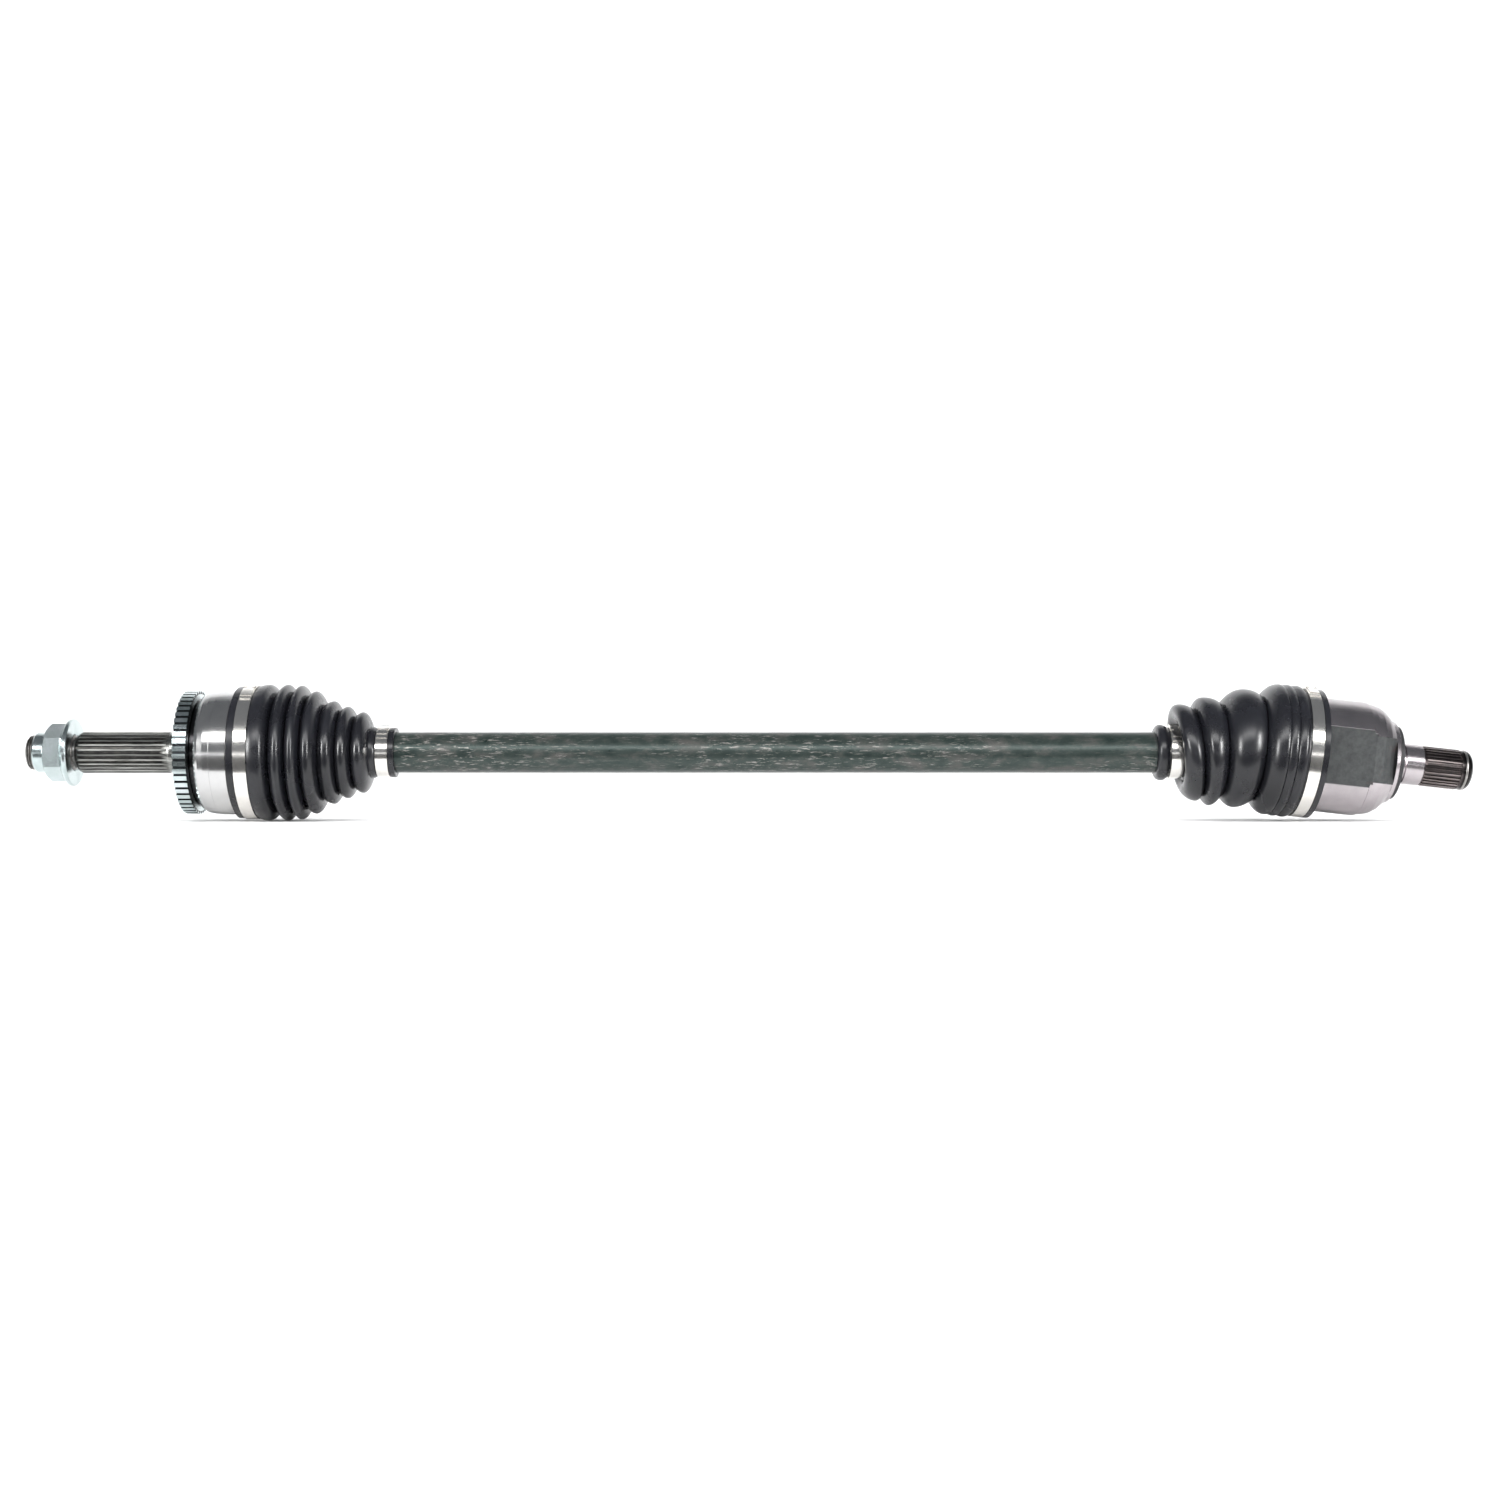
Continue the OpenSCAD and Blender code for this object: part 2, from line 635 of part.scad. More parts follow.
hub_nut();
outer_joint_housing();
abs_tone_ring();
outer_inner_race();
outer_race_circlip();
outer_cage();
outer_ball(1);  // outer_ball_1
outer_ball(2);  // outer_ball_2
outer_ball(3);  // outer_ball_3
outer_ball(4);  // outer_ball_4
outer_ball(5);  // outer_ball_5
outer_ball(6);  // outer_ball_6
outer_boot();
outer_large_clamp();
outer_large_clamp_buckle();
outer_small_clamp();
outer_small_clamp_buckle();
axle_shaft();
inner_joint_housing();
tulip_stop_ring();
inner_boot_adapter();
inner_dust_ring();
stub_circlip();
tripod_spider();
spider_circlip(-1);  // spider_circlip_front
spider_circlip(1);  // spider_circlip_rear
tripod_roller(1);  // tripod_roller_1
tripod_roller(2);  // tripod_roller_2
tripod_roller(3);  // tripod_roller_3
roller_needles(1);  // roller_needles_1
roller_needles(2);  // roller_needles_2
roller_needles(3);  // roller_needles_3
roller_washer(1);  // roller_washer_1
roller_washer(2);  // roller_washer_2
roller_washer(3);  // roller_washer_3
roller_snap_ring(1);  // roller_snap_ring_1
roller_snap_ring(2);  // roller_snap_ring_2
roller_snap_ring(3);  // roller_snap_ring_3
inner_boot_front();
inner_boot_rear();
inner_large_clamp();
inner_large_clamp_buckle();
inner_small_clamp();
inner_small_clamp_buckle();
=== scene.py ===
"""A front-wheel drive shaft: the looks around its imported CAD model. Lengths are in metres.

The bar lies along X, the wheel end at -X. The gearbox joint hangs below the bar at rest."""

import json
import math

import bmesh
import bpy
from mathutils import Matrix, Vector


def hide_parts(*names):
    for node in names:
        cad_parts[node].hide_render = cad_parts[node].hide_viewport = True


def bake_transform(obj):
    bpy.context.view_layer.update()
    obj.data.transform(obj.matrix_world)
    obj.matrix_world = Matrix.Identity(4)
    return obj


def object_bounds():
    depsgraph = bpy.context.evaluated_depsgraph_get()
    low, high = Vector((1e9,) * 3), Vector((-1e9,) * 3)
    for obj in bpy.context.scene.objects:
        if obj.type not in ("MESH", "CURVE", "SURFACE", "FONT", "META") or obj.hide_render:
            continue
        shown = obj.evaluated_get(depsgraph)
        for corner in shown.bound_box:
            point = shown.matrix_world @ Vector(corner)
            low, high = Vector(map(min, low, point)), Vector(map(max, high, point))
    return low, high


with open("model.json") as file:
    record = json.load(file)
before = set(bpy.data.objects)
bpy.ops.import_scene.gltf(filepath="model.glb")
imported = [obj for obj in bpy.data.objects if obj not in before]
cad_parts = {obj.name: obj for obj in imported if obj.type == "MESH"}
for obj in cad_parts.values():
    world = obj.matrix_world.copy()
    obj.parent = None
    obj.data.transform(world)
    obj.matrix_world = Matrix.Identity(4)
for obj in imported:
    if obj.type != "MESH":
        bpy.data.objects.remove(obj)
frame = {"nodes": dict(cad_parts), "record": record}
cad_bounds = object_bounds()
MM = 0.001

# ---------------------------------------------------------------- places

OUTER_X = 37 * MM
INNER_X = OUTER_X + 676.5 * MM
DROOP = math.radians(6.3)
FLOOR_Z = cad_bounds[0][2] - 0.2 * MM

# Sizes of the CAD pieces that the materials and boots follow, in millimetres
FLAT_R, FLAT_END, POCKET_END, POCKET_HALF, POCKET_LOWEST = 32, 39, 54.3, 14.6, 20
STEM_TIP_R, STUB_TIP_R, TOOTH_DEPTH = 13.25, 12.8, 1.0
STEM_START, THREAD_START = -0.5, -67
GROOVE_END, GROOVE_R, BELL_BACK_R = 14.7, 34, 36.9
RING_TIP_R, RING_ROOT_R = 39.0, 37.5
STUB_SPLINE_START, STUB_END_START = 76.3, 99
BAR_R, BELL_CUFF_R, BELL_MOUTH = 13.0, 39.85, 14.3
ADAPTER_R, ADAPTER_START = 38.5, -7.6


# ---------------------------------------------------------------- material helpers

# Blender's places for the two colours that go into a Mix node, and for the one that comes out
MIX_A, MIX_B, MIXED = 6, 7, 2


class Shader:
    """A material's node tree, built one node at a time."""

    def __init__(self, name):
        self.material = bpy.data.materials.new(name)
        self.material.use_nodes = True
        self.tree = self.material.node_tree
        self.tree.nodes.clear()
        self.out = self.add("ShaderNodeOutputMaterial")
        self.bsdf = self.add("ShaderNodeBsdfPrincipled")
        self.link(self.bsdf, "BSDF", self.out, "Surface")
        self.coords = self.add("ShaderNodeTexCoord")

    def add(self, kind, **settings):
        node = self.tree.nodes.new(kind)
        for key, value in settings.items():
            setattr(node, key, value)
        return node

    def link(self, a, a_socket, b, b_socket):
        self.tree.links.new(a.outputs[a_socket], b.inputs[b_socket])

    def mapped(self, location=(0, 0, 0), rotation=(0, 0, 0), scale=(1, 1, 1)):
        node = self.add("ShaderNodeMapping")
        node.inputs["Location"].default_value = location
        node.inputs["Rotation"].default_value = rotation
        node.inputs["Scale"].default_value = scale
        self.link(self.coords, "Object", node, "Vector")
        return node

    def noise(self, source, scale, detail=4.0, roughness=0.55, distortion=0.0):
        node = self.add("ShaderNodeTexNoise")
        node.inputs["Scale"].default_value = scale
        node.inputs["Detail"].default_value = detail
        node.inputs["Roughness"].default_value = roughness
        node.inputs["Distortion"].default_value = distortion
        self.link(source, "Vector", node, "Vector")
        return node

    def ramp(self, source, socket, stops):
        node = self.add("ShaderNodeValToRGB")
        elements = node.color_ramp.elements
        while len(elements) < len(stops):
            elements.new(0.5)
        for element, (place, color) in zip(elements, stops):
            element.position = place
            element.color = (*color, 1)
        self.link(source, socket, node, "Fac")
        return node

    def spread(self, source, socket, low, high, to_low=0.0, to_high=1.0):
        node = self.add("ShaderNodeMapRange")
        node.inputs["From Min"].default_value = low
        node.inputs["From Max"].default_value = high
        node.inputs["To Min"].default_value = to_low
        node.inputs["To Max"].default_value = to_high
        self.link(source, socket, node, "Value")
        return node

    def mix(self, factor, factor_socket, a, b):
        """A colour between a and b. Each is a colour or a (node, socket) pair."""
        node = self.add("ShaderNodeMix", data_type="RGBA")
        self.link(factor, factor_socket, node, "Factor")
        for value, index in ((a, MIX_A), (b, MIX_B)):
            if isinstance(value[0], bpy.types.Node):
                self.tree.links.new(value[0].outputs[value[1]], node.inputs[index])
            else:
                node.inputs[index].default_value = (*value, 1)
        return node

    def bump(self, source, socket, strength, distance, before=None):
        node = self.add("ShaderNodeBump")
        node.inputs["Strength"].default_value = strength
        node.inputs["Distance"].default_value = distance
        self.link(source, socket, node, "Height")
        if before:
            self.link(before, "Normal", node, "Normal")
        self.link(node, "Normal", self.bsdf, "Normal")
        return node

    def color(self, node, socket="Color"):
        self.link(node, socket, self.bsdf, "Base Color")

    def rough(self, node, socket="Result"):
        self.link(node, socket, self.bsdf, "Roughness")

    def set(self, **values):
        for key, value in values.items():
            self.bsdf.inputs[key.replace("_", " ")].default_value = value


def ring_lines(s, place):
    """The fine rings that a lathe leaves about X."""
    stretched = s.add("ShaderNodeVectorMath", operation="MULTIPLY")
    stretched.inputs[1].default_value = (1, 0.004, 0.004)
    s.link(place, "Vector", stretched, 0)
    return s.noise(stretched, 2600, 3, 0.6)


def band_steel():
    """Bright steel strip: fine rings about X, a slight stain, uneven polish."""
    s = Shader("band_steel")
    place = s.mapped()
    rings = ring_lines(s, place)
    stain = s.noise(place, 38, 5, 0.6)
    fine = s.noise(place, 900, 3, 0.5)
    s.color(s.ramp(stain, "Fac", [(0.3, (0.74, 0.72, 0.69)), (0.62, (0.86, 0.84, 0.80))]))
    s.rough(s.spread(fine, "Fac", 0.3, 0.7, 0.136, 0.2125))
    first = s.bump(rings, "Fac", 0.12, 0.00004)
    s.bump(stain, "Fac", 0.06, 0.0002, first)
    s.set(Metallic=1.0)
    return s.material


def math_node(s, operation, a, b=None):
    """A math node on sockets, given as (node, name) pairs, or on numbers."""
    node = s.add("ShaderNodeMath", operation=operation)
    for index, value in enumerate((a, b)):
        if isinstance(value, tuple):
            s.link(*value, node, index)
        elif value is not None:
            node.inputs[index].default_value = value
    return node, "Value"


def along(s, place):
    """How far along X a point is, in the piece's own frame."""
    split = s.add("ShaderNodeSeparateXYZ")
    s.link(place, "Vector", split, "Vector")
    return split


def distance_from_axis(s, place):
    flat = s.add("ShaderNodeVectorMath", operation="MULTIPLY")
    flat.inputs[1].default_value = (0, 1, 1)
    s.link(place, "Vector", flat, 0)
    length = s.add("ShaderNodeVectorMath", operation="LENGTH")
    s.link(flat, "Vector", length, 0)
    return length


def zinc_steel():
    """Bright zinc plate: pale green-blue with a soft cloud and a fine spangle, and painted shade on the
    tone ring's slot walls.
    """
    s = Shader("zinc_plate")
    cells = s.noise(s.mapped(), 420, 4, 0.6)
    cloud = s.noise(s.mapped(), 70, 4, 0.6)
    stops = [(0.3, (0.37, 0.43, 0.435)), (0.5, (0.48, 0.55, 0.55)), (0.7, (0.57, 0.62, 0.64))]
    plate = s.ramp(cloud, "Fac", stops)
    place = s.mapped()
    reach = distance_from_axis(s, place)
    # Painted shade: the slot walls between the tone ring's tooth roots and tips are painted near-black.
    below_tips = s.spread(reach, "Value", RING_TIP_R * MM, (RING_TIP_R - 0.9) * MM)
    above_roots = s.spread(reach, "Value", (RING_ROOT_R - 0.3) * MM, RING_ROOT_R * MM)
    slot_shade = math_node(s, "MULTIPLY", (below_tips, "Result"), (above_roots, "Result"))
    s.color(s.mix(*slot_shade, (plate, "Color"), (0.075, 0.085, 0.09)), MIXED)
    s.rough(s.spread(cells, "Fac", 0.3, 0.7, 0.18, 0.27))
    s.bump(cells, "Fac", 0.05, 0.00002)
    s.set(Metallic=1.0)
    return s.material


def tooth_colors_with_painted_light(s, place, tip_radius, warm, tip):
    """Rolled spline steel: painted shade between the teeth, painted highlights on their tips, brown in
    places.
    """
    reach = distance_from_axis(s, place)
    # Painted light: the tooth roots are painted dark as shade, and the tips are painted bright as
    # highlights.
    height = s.spread(reach, "Value", (tip_radius - TOOTH_DEPTH) * MM, (tip_radius - 0.1) * MM)
    stain = s.noise(place, 120, 5, 0.65)
    stretched = s.add("ShaderNodeVectorMath", operation="MULTIPLY")
    stretched.inputs[1].default_value = (0.05, 1, 1)
    s.link(place, "Vector", stretched, 0)
    streak = s.noise(stretched, 1300, 3, 0.6)
    dark = s.ramp(stain, "Fac", [(0.35, (0.030, 0.030, 0.029)), (0.65, warm)])
    bright = s.ramp(streak, "Fac", [(0.3, tuple(c * 0.3 for c in tip)), (0.68, tip)])
    return s.mix(height, "Result", (dark, "Color"), (bright, "Color"))


def bell_and_stem():
    """The wheel-end forging: bright turned bell, painted shade in the groove behind the tone ring, dark
    spline with painted shade between its teeth and painted highlights on their tips, grey thread.
    """
    s = Shader("bell_and_stem")
    place = s.mapped()
    x = along(s, place)
    rings = ring_lines(s, place)
    stain = s.noise(place, 38, 5, 0.6)
    fine = s.noise(place, 900, 3, 0.5)
    bell = s.ramp(stain, "Fac", [(0.3, (0.52, 0.52, 0.525)), (0.62, (0.64, 0.635, 0.625))])
    thread = s.ramp(fine, "Fac", [(0.3, (0.12, 0.115, 0.11)), (0.7, (0.28, 0.27, 0.26))])
    teeth = tooth_colors_with_painted_light(s, place, STEM_TIP_R, (0.085, 0.083, 0.076), (0.40, 0.405, 0.385))
    on_stem = s.spread(x, "X", STEM_START * MM, (STEM_START - 1) * MM)
    on_thread = s.spread(x, "X", THREAD_START * MM, (THREAD_START - 0.6) * MM)
    # Painted shade: the groove behind the tone ring is painted near-black.
    groove_depth = s.spread(distance_from_axis(s, place), "Value", BELL_BACK_R * MM, GROOVE_R * MM)
    behind_ring = s.spread(x, "X", (GROOVE_END + 0.05) * MM, (GROOVE_END - 0.05) * MM)
    groove_shade_mask = math_node(s, "MULTIPLY", (groove_depth, "Result"), (behind_ring, "Result"))
    back = s.mix(*groove_shade_mask, (bell, "Color"), (0.035, 0.034, 0.036))
    first = s.mix(on_stem, "Result", (back, MIXED), (teeth, MIXED))
    s.color(s.mix(on_thread, "Result", (first, MIXED), (thread, "Color")), MIXED)
    s.rough(s.spread(x, "X", -14 * MM, 0, 0.36, 0.17))
    step = s.bump(rings, "Fac", 0.3, 0.00004)
    s.bump(stain, "Fac", 0.06, 0.0002, step)
    s.set(Metallic=1.0)
    return s.material


def flats_mask(s, place, x):
    """1 on the three as-forged flats and on the pockets that carry them over the shoulder."""
    total = None
    in_pocket = math_node(s, "GREATER_THAN", (x, "X"), FLAT_END * MM)
    before_rim = math_node(s, "LESS_THAN", (x, "X"), POCKET_END * MM)
    on_barrel = math_node(s, "LESS_THAN", (x, "X"), (FLAT_END + 0.2) * MM)
    for k in range(3):
        turn = math.radians(120 * k)
        out = s.add("ShaderNodeVectorMath", operation="DOT_PRODUCT")
        out.inputs[1].default_value = (0, -math.cos(turn), -math.sin(turn))
        s.link(place, "Vector", out, 0)
        side = s.add("ShaderNodeVectorMath", operation="DOT_PRODUCT")
        side.inputs[1].default_value = (0, math.sin(turn), -math.cos(turn))
        s.link(place, "Vector", side, 0)
        level = s.spread(out, "Value", (FLAT_R + 0.12) * MM, (FLAT_R + 0.04) * MM)
        near = s.spread(out, "Value", (FLAT_R - 0.5) * MM, (FLAT_R - 0.1) * MM)
        flat = math_node(s, "MULTIPLY", (level, "Result"), (near, "Result"))
        flat = math_node(s, "MULTIPLY", flat, on_barrel)
        off_centre = math_node(s, "ABSOLUTE", (side, "Value"))
        within = math_node(s, "LESS_THAN", off_centre, (POCKET_HALF - 0.02) * MM)
        outside = math_node(s, "GREATER_THAN", (out, "Value"), POCKET_LOWEST * MM)
        pocket = math_node(s, "MULTIPLY", within, outside)
        pocket = math_node(s, "MULTIPLY", pocket, in_pocket)
        pocket = math_node(s, "MULTIPLY", pocket, before_rim)
        both = math_node(s, "MAXIMUM", flat, pocket)
        total = both if total is None else math_node(s, "MAXIMUM", total, both)
    return total


def lobed_forging():
    """The gearbox-end forging: turned lobes, dark scaly flats, bright journal, dark spline with painted
    shade between its teeth and painted highlights on their tips.
    """
    s = Shader("lobed_forging")
    offset = (-INNER_X * math.cos(DROOP), 0, -INNER_X * math.sin(DROOP))
    place = s.mapped(location=offset, rotation=(0, -DROOP, 0))
    x = along(s, place)
    on_flat = flats_mask(s, place, x)
    rings = ring_lines(s, place)
    stain = s.noise(place, 45, 5, 0.6)
    scale = s.noise(place, 260, 6, 0.68)
    patches = s.noise(place, 55, 4, 0.6)
    lobe = s.ramp(stain, "Fac", [(0.32, (0.37, 0.345, 0.355)), (0.62, (0.47, 0.435, 0.45))])
    scaly = s.ramp(scale, "Fac", [(0.35, (0.026, 0.028, 0.029)), (0.62, (0.044, 0.047, 0.047))])
    rusty = s.ramp(patches, "Fac", [(0.60, (0, 0, 0)), (0.72, (0.6, 0.6, 0.6))])
    flat = s.mix(rusty, "Color", (scaly, "Color"), (0.070, 0.038, 0.038))
    teeth = tooth_colors_with_painted_light(s, place, STUB_TIP_R, (0.070, 0.056, 0.056), (0.26, 0.225, 0.22))
    body = s.mix(*on_flat, (lobe, "Color"), (flat, MIXED))
    on_spline = s.spread(x, "X", STUB_SPLINE_START * MM, (STUB_SPLINE_START + 0.7) * MM)
    both = s.mix(on_spline, "Result", (body, MIXED), (teeth, MIXED))
    on_end = s.spread(x, "X", STUB_END_START * MM, (STUB_END_START + 3) * MM)
    s.color(s.mix(on_end, "Result", (both, MIXED), (0.022, 0.020, 0.020)), MIXED)
    s.rough(s.spread(*on_flat, 0, 1, 0.24, 0.58))
    metal = s.spread(*on_flat, 0, 1, 1.0, 0.4)
    s.link(metal, "Result", s.bsdf, "Metallic")
    rough_height = math_node(s, "MULTIPLY", (scale, "Fac"), on_flat)
    step = s.bump(rings, "Fac", 0.22, 0.00004)
    s.bump(*rough_height, 0.35, 0.0004, step)
    return s.material


def boot_rubber():
    """Moulded black rubber: a soft gloss with a blue cast, faint grain, dust in places."""
    s = Shader("boot_rubber")
    grain = s.noise(s.mapped(), 1500, 3, 0.5)
    cloud = s.noise(s.mapped(), 34, 4, 0.6)
    dust = s.noise(s.mapped(), 210, 5, 0.7)
    tint = s.ramp(cloud, "Fac", [(0.3, (0.0050, 0.0051, 0.0066)), (0.7, (0.0085, 0.0090, 0.0120))])
    specks = s.ramp(dust, "Fac", [(0.62, (0, 0, 0)), (0.78, (0.35, 0.35, 0.35))])
    s.color(s.mix(specks, "Color", (tint, "Color"), (0.028, 0.028, 0.032)), MIXED)
    s.rough(s.spread(cloud, "Fac", 0.3, 0.7, 0.23, 0.32))
    s.bump(grain, "Fac", 0.08, 0.00005)
    s.set(IOR=1.5, Specular_IOR_Level=0.5)
    return s.material


def bar_coating():
    """Dark green-black bar: mottled, with pale rubbed streaks along it."""
    s = Shader("bar_coating")
    mottle = s.noise(s.mapped(scale=(0.55, 1, 1)), 95, 6, 0.68, 0.3)
    cloud = s.noise(s.mapped(scale=(0.35, 1, 1)), 24, 4, 0.6)
    streak = s.noise(s.mapped(scale=(0.16, 1, 1)), 900, 4, 0.7, 0.2)
    grain = s.noise(s.mapped(), 1400, 3, 0.5)
    stops = [(0.32, (0.014, 0.026, 0.023)), (0.5, (0.030, 0.042, 0.038)), (0.7, (0.080, 0.076, 0.072))]
    base = s.ramp(mottle, "Fac", stops)
    rubbed = s.ramp(streak, "Fac", [(0.56, (0, 0, 0)), (0.68, (0.9, 0.9, 0.9))])
    patches = s.ramp(cloud, "Fac", [(0.42, (0.12, 0.12, 0.12)), (0.60, (1, 1, 1))])
    worn = math_node(s, "MULTIPLY", (rubbed, "Color"), (patches, "Color"))
    s.color(s.mix(*worn, (base, "Color"), (0.30, 0.285, 0.265)), MIXED)
    s.rough(s.spread(mottle, "Fac", 0.3, 0.7, 0.26, 0.46))
    first = s.bump(mottle, "Fac", 0.14, 0.00025)
    s.bump(grain, "Fac", 0.10, 0.00006, first)
    s.set(Metallic=0.55, Specular_IOR_Level=0.6)
    return s.material


def plain_metal(name, low, high, rough=(0.25, 0.4), scale=220, bump=0.15):
    """Clouded steel for the pieces inside the joints."""
    s = Shader(name)
    cloud = s.noise(s.mapped(), scale, 5, 0.6)
    s.color(s.ramp(cloud, "Fac", [(0.32, low), (0.68, high)]))
    s.rough(s.spread(cloud, "Fac", 0.3, 0.7, *rough))
    s.bump(cloud, "Fac", bump, 0.00008)
    s.set(Metallic=1.0)
    return s.material


def dull_plastic(name, color):
    """Dark moulded plastic with a fine grain."""
    s = Shader(name)
    grain = s.noise(s.mapped(), 700, 4, 0.6)
    cloud = s.noise(s.mapped(), 60, 4, 0.6)
    s.color(s.ramp(cloud, "Fac", [(0.3, tuple(c * 0.7 for c in color)), (0.7, color)]))
    s.rough(s.spread(grain, "Fac", 0.3, 0.7, 0.42, 0.6))
    s.bump(grain, "Fac", 0.15, 0.00008)
    return s.material


RUBBER = boot_rubber()

# The finish of each of the record's material slots
LOOKS = {
    "band_steel": band_steel(),
    "zinc_steel": zinc_steel(),
    "boot_rubber": RUBBER,
    "bar_paint": bar_coating(),
    "hardened_steel": plain_metal("hardened_steel", (0.20, 0.20, 0.21), (0.34, 0.34, 0.35)),
    "spring_steel": plain_metal("spring_steel", (0.22, 0.21, 0.20), (0.38, 0.37, 0.36)),
    "bearing_steel": plain_metal("bearing_steel", (0.60, 0.61, 0.64), (0.70, 0.71, 0.73),
                                 rough=(0.08, 0.16), scale=300, bump=0.04),
    "black_plastic": dull_plastic("black_moulding", (0.022, 0.022, 0.024)),
    "machined_steel": bell_and_stem(),
    "forged_steel": lobed_forging(),
}

# ---------------------------------------------------------------- CAD pieces shown as they are

SHARP_ANGLE, BEVEL_ANGLE = 50, 35


def smooth_by_angle(obj, degrees):
    for polygon in obj.data.polygons:
        polygon.use_smooth = True
    obj.data.set_sharp_from_angle(angle=math.radians(degrees))


def soften_edges(obj, width_mm):
    """Rounds a piece's sharp edges, so that they catch the light."""
    bevel = obj.modifiers.new("soft_edges", "BEVEL")
    bevel.width = width_mm * MM
    bevel.segments = 2
    bevel.limit_method = "ANGLE"
    bevel.angle_limit = math.radians(BEVEL_ANGLE)
    bevel.harden_normals = True


# How far the edges of these pieces are rounded, in millimetres
SOFT_EDGES = {"abs_tone_ring": 0.25, "hub_nut": 0.3}

for part in frame["record"]["subparts"]:
    node = frame["nodes"][part["node"]]
    node.data.materials.clear()
    node.data.materials.append(LOOKS[part["material_slot"]])
    if part["node"] in SOFT_EDGES:
        soften_edges(node, SOFT_EDGES[part["node"]])


# ---------------------------------------------------------------- mesh helpers


def lathe(name, outline, sides, matrix):
    """A closed surface of revolution about X from a loop of (x, radius) in millimetres."""
    mesh = bpy.data.meshes.new(name)
    rings = []
    build = bmesh.new()
    for x, r in outline:
        turns = [math.tau * k / sides for k in range(sides)]
        corners = [Vector((x * MM, r * MM * math.cos(a), r * MM * math.sin(a))) for a in turns]
        rings.append([build.verts.new(matrix @ corner) for corner in corners])
    for here, there in zip(rings, rings[1:] + rings[:1]):
        for k in range(sides):
            build.faces.new((here[k], here[(k + 1) % sides], there[(k + 1) % sides], there[k]))
    bmesh.ops.recalc_face_normals(build, faces=build.faces)
    build.to_mesh(mesh)
    build.free()
    obj = bpy.data.objects.new(name, mesh)
    bpy.context.scene.collection.objects.link(obj)
    smooth_by_angle(obj, SHARP_ANGLE)
    return obj


def fold_line(points, steps=12):
    """Round crests and tight valleys through a list of (x, radius) peaks and valleys."""
    line = []
    for (x0, r0), (x1, r1) in zip(points, points[1:]):
        for k in range(steps):
            t = k / steps
            rise = 1 - t if r1 < r0 else t
            round_share = (1 - (1 - rise) ** 2) ** 0.8
            line.append((x0 + (x1 - x0) * t, min(r0, r1) + abs(r1 - r0) * round_share))
    return line + [points[-1]]


# ---------------------------------------------------------------- boots

BOOT_WALL, BOOT_SIDES, NECK_BORE_START = 2.6, 144, 85

# Crests and valleys of both boots: x from the joint's centre, and radius
OUTER_BOOT = [
    (-1.3, 41.2), (-0.9, 42.0), (3.0, 42.0), (3.5, 41.4), (11.4, 41.4), (12.0, 42.3),
    (18.0, 43.4), (23.8, 36.4), (29.5, 43.5), (34.0, 36.6), (38.4, 42.9), (43.0, 34.8),
    (47.5, 39.2), (53.2, 29.8), (58.8, 32.9), (63.2, 26.0), (67.6, 29.4), (72.5, 22.2),
    (77.4, 25.9), (83.0, 16.6), (86.7, 14.9), (94.8, 14.9), (95.4, 16.0), (98.2, 16.0),
    (98.6, 15.4),
]
INNER_NECK = [
    (-93.5, 14.6), (-93.1, 16.0), (-92.2, 17.1), (-90.8, 17.8), (-89.2, 17.9), (-87.6, 17.4), (-86.4, 16.6),
    (-85.4, 15.8), (-76.2, 15.8), (-76.0, 17.4),
]
INNER_FOLDS = [(-72.4, 31.0), (-66.6, 27.2), (-61.0, 34.6), (-51.5, 29.0)]
INNER_CUFF = [
    (-51.5, 29.0), (-40.0, 37.9), (-29.0, 33.2), (-19.0, 41.9), (-16.6, 41.0), (-13.8, 42.2), (-11.0, 41.0),
    (-7.8, 42.2), (-4.8, 40.9), (-3.7, 40.4), (4.2, 40.4), (4.8, 41.2), (7.9, 41.2),
]

# The first fold's arc, how far the folds lean back, and where the boot bends onto the housing
BULGE_CENTRE, BULGE_SIZE, BULGE_FOOT, BULGE_STEPS = (-72.4, 24.5), (6.6, 6.5), 250, 24
LEAN_SHARE, LEAN_FADE, LEAN_FROM, LEAN_TO, LEAN_BASE_R = 0.38, 4, -73, -14, 17
BEND_FROM, BEND_TO = -72, -18


def wall_inside(line, bore):
    """The line one wall inside an outline, never tighter than bore."""
    inside = []
    for i, (x, r) in enumerate(line):
        before, after = Vector(line[max(i - 1, 0)]), Vector(line[min(i + 1, len(line) - 1)])
        run = (after - before).normalized()
        inside.append((x + run.y * BOOT_WALL, max(r - run.x * BOOT_WALL, bore)))
    return inside


def boot_piece(name, outside, inside, matrix):
    """One length of a boot, as a closed shell between its outside and its inside."""
    obj = lathe(name, outside + inside[::-1], BOOT_SIDES, matrix)
    obj.data.materials.append(RUBBER)
    return obj


def smooth_share(t):
    """A smooth step from 0 to 1."""
    t = min(max(t, 0), 1)
    return t * t * (3 - 2 * t)


def outer_bore(x, r):
    """The inside radius of the wheel-end boot: the bell's, one wall in, or the bar's."""
    if x < BELL_MOUTH:
        return BELL_CUFF_R
    return BAR_R if x > NECK_BORE_START else max(r - BOOT_WALL, BAR_R)


def between(line, low, high):
    """The points of a line from one x to another, both included."""
    return [p for p in line if low - 1e-6 <= p[0] <= high + 1e-6]


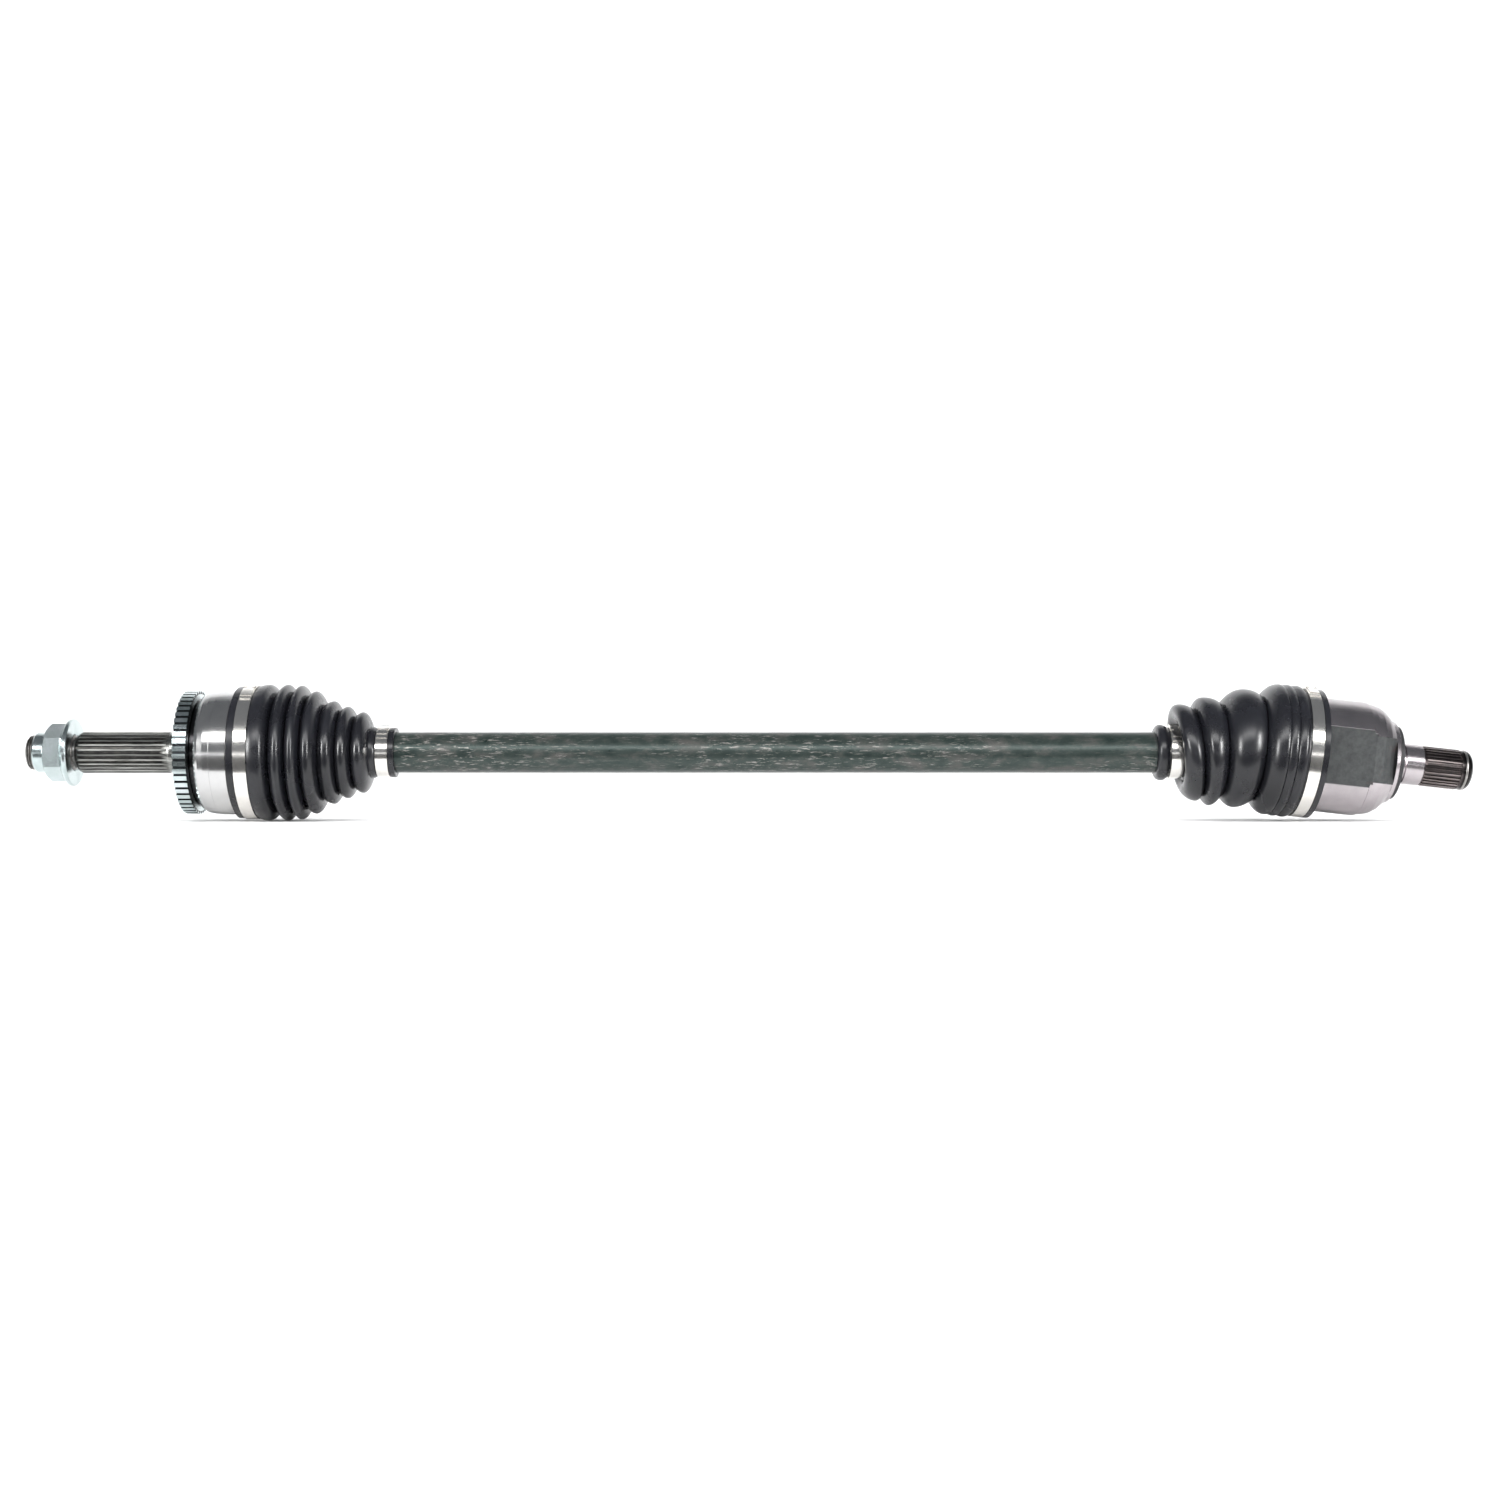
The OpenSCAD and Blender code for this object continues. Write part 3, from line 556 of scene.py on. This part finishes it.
# The wheel-end boot in three lengths: name, from, to, two bodies, and where it turns from one
# to the other
OUTER_PARTS = [
    ("outer_boot_cuff", -1.3, 18.0, "outer_boot", "outer_joint", 17.5, 11.6),
    ("outer_boot_middle", 18.0, 43.0, "outer_cage", "outer_boot", 42.0, 18.4),
    ("outer_boot_neck", 43.0, 98.6, "shaft", "outer_cage", 78.0, 43.4),
]
outer_line = fold_line(OUTER_BOOT)
for name, low, high, near, far, start, end in OUTER_PARTS:
    outside = between(outer_line, low, high)
    inside = [(x, outer_bore(x, r)) for x, r in outside]
    piece = boot_piece(name, outside, inside, Matrix.Translation((OUTER_X, 0, 0)))
    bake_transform(piece)
    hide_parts("outer_boot")


def bent_point(x_mm, point=None):
    """Where a point at x on the straight boot goes: the axis itself, or a point beside it."""
    share = smooth_share((x_mm - BEND_FROM) / (BEND_TO - BEND_FROM))
    turn = Matrix.Rotation(DROOP * share, 4, "Y")
    return Matrix.Translation((INNER_X, 0, 0)) @ turn @ (point or Vector((x_mm * MM, 0, 0)))


def bend_boot(obj):
    """Leads a straight boot off the bar's axis onto the drooped housing, its folds leaning back."""
    for vertex in obj.data.vertices:
        x, z = vertex.co.x / MM, vertex.co.z / MM
        r = math.hypot(vertex.co.y, vertex.co.z) / MM
        fade = 1 - min(max((x - LEAN_FROM) / (LEAN_TO - LEAN_FROM), 0), 1)
        shift = LEAN_SHARE * max(r - LEAN_BASE_R, 0) * fade ** LEAN_FADE * z / r
        vertex.co = bent_point(x, Vector((vertex.co.x - shift * MM, vertex.co.y, vertex.co.z)))


def bulge_line():
    """The first fold: an elliptical arc from its foot, back over the clamp, to its crest."""
    (centre_x, centre_r), (half_x, half_r) = BULGE_CENTRE, BULGE_SIZE
    turns = [math.radians(BULGE_FOOT + (90 - BULGE_FOOT) * i / BULGE_STEPS)
             for i in range(BULGE_STEPS)]
    return [(centre_x + half_x * math.cos(a), centre_r + half_r * math.sin(a)) for a in turns]


def inner_bore(x, r):
    """The inside radius of the gearbox-end boot's folds and cuff."""
    return ADAPTER_R if x > ADAPTER_START else r - BOOT_WALL


# The gearbox-end boot, in the same way
bulge_and_folds = bulge_line() + fold_line(INNER_FOLDS)
neck_outside = INNER_NECK + bulge_and_folds
neck_inside = [(x, BAR_R) for x, r in INNER_NECK] + wall_inside(bulge_and_folds, BAR_R)
folds_and_cuff = fold_line(INNER_CUFF)
middle_line = between(folds_and_cuff, -51.5, -29.0)
cuff_line = between(folds_and_cuff, -29.0, 7.9)
INNER_PARTS = [
    ("inner_boot_neck", neck_outside, neck_inside, "shaft", "inner_boot_front", -75.0, -52.5),
    ("inner_boot_middle", middle_line, [(x, inner_bore(x, r)) for x, r in middle_line],
     "inner_boot_front", "inner_boot_rear", -50.5, -30.0),
    ("inner_boot_cuff", cuff_line, [(x, inner_bore(x, r)) for x, r in cuff_line],
     "inner_boot_rear", "inner_joint", -28.6, -21.5),
]
for name, outside, inside, near, far, start, end in INNER_PARTS:
    piece = boot_piece(name, outside, inside, Matrix.Identity(4))
    bend_boot(piece)
    smooth_by_angle(piece, SHARP_ANGLE)
    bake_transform(piece)
    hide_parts("inner_boot_front" if near == "shaft" else "inner_boot_rear")

# ---------------------------------------------------------------- stage

MIDDLE = (0.36, 0, 0)


def stage_piece(name, rows, material):
    """A sheet of the studio from rows of corners."""
    mesh = bpy.data.meshes.new(name)
    build = bmesh.new()
    rows = [[build.verts.new(corner) for corner in row] for row in rows]
    for low, high in zip(rows, rows[1:]):
        build.faces.new((low[0], low[1], high[1], high[0]))
    build.to_mesh(mesh)
    build.free()
    for polygon in mesh.polygons:
        polygon.use_smooth = True
    mesh.materials.append(material)
    obj = bpy.data.objects.new(name, mesh)
    bpy.context.scene.collection.objects.link(obj)
    return obj


def matte(name, low, high, glow=0):
    """Matt paper between two greys, with its own glow where it has to stay pale."""
    s = Shader(name)
    s.set(Emission_Strength=glow)
    grain = s.noise(s.mapped(), 40, 4, 0.5)
    s.color(s.ramp(grain, "Fac", [(0.3, (low,) * 3), (0.7, (high,) * 3)]))
    s.rough(s.spread(grain, "Fac", 0.3, 0.7, 0.7, 0.85))
    return s.material


def backdrop():
    """A pale floor that curves up into a wall behind the object, and a pale surround far off."""
    bend, wall_y, front, left, right = 0.5, 1.2, -9.0, -9.0, 10.0
    profile = [(front, 0.0), (wall_y, 0.0)]
    profile += [(wall_y + bend * math.sin(a), bend * (1 - math.cos(a)))
                for a in (math.pi / 2 * k / 16 for k in range(1, 17))]
    profile += [(wall_y + bend, 4.0)]
    rows = [[(x, y, FLOOR_Z + z) for x in (left, right)] for y, z in profile]
    stage_piece("backdrop", rows, matte("pale_paper", 0.87, 0.90))
    radius = 9
    surround = [[(MIDDLE[0] + radius * math.cos(a), radius * math.sin(a), z)
                 for z in (FLOOR_Z - 0.1, 6.0)] for a in (math.pi * k / 32 for k in range(65))]
    far = stage_piece("far_surround", surround, matte("pale_surround", 0.87, 0.90, glow=0.8))
    far.visible_diffuse = far.visible_glossy = far.visible_shadow = False


def dark_card():
    """A dark card on the floor, seen only in reflections: it gives bright metal its dark line."""
    card_z = FLOOR_Z + 0.5 * MM
    rows = [[(x, y, card_z) for x in (-0.6, 1.3)] for y in (-0.55, -0.085)]
    card = stage_piece("dark_card", rows, matte("dark_card", 0.02, 0.03))
    card.visible_camera = card.visible_diffuse = card.visible_shadow = False


def area_light(name, place, aim, size, power, in_gloss=True):
    """A soft box at a place, turned to its aim; size in metres and power in watts."""
    light = bpy.data.lights.new(name, "AREA")
    light.shape = "RECTANGLE"
    light.size, light.size_y = size
    light.energy = power
    obj = bpy.data.objects.new(name, light)
    bpy.context.scene.collection.objects.link(obj)
    obj.location = place
    obj.rotation_euler = (Vector(aim) - Vector(place)).to_track_quat("-Z", "Y").to_euler()
    obj.visible_glossy = in_gloss
    obj.visible_camera = False


def light_studio():
    """A long key in front, a tall box on each side, and washes that show in no reflection."""
    area_light("key", (0.36, -1.10, 0.60), MIDDLE, (2.0, 0.30), 14)
    for side, place in (("left", (-1.25, -1.15, 0.30)), ("right", (1.97, -1.15, 0.30))):
        area_light("side_" + side, place, MIDDLE, (0.20, 0.62), 24)
    washes = [
        ("overhead", (0.36, 0.4, 2.2), (0.36, 0.3, 0), (4.0, 2.4), 48),
        ("floor_wash", (0.36, -2.4, 2.6), (0.36, -3.0, 0), (6.0, 3.0), 110),
        ("wall_wash", (0.36, -0.2, 1.6), (0.36, 1.7, 0.5), (4.0, 0.8), 20),
    ]
    for name, place, aim, size, power in washes:
        area_light(name, place, aim, size, power, in_gloss=False)
    world = bpy.data.worlds.new("studio")
    bpy.context.scene.world = world
    world.use_nodes = True
    sky = world.node_tree.nodes["Background"]
    sky.inputs["Color"].default_value = (0.90, 0.94, 1.0, 1)
    sky.inputs["Strength"].default_value = 0.2


def place_camera():
    """Level with the bar, at the distance that gives the same foreshortening."""
    camera = bpy.data.cameras.new("camera")
    camera.lens = 50.4
    camera.sensor_width = 36
    camera.clip_end = 20
    obj = bpy.data.objects.new("camera", camera)
    bpy.context.scene.collection.objects.link(obj)
    obj.location = (OUTER_X + 324.5 * MM, -1.344, 1.6 * MM)
    obj.rotation_euler = (math.radians(90), 0, 0)
    bpy.context.scene.camera = obj
    bpy.context.scene.view_settings.view_transform = "Standard"


backdrop()
dark_card()
light_studio()
place_camera()
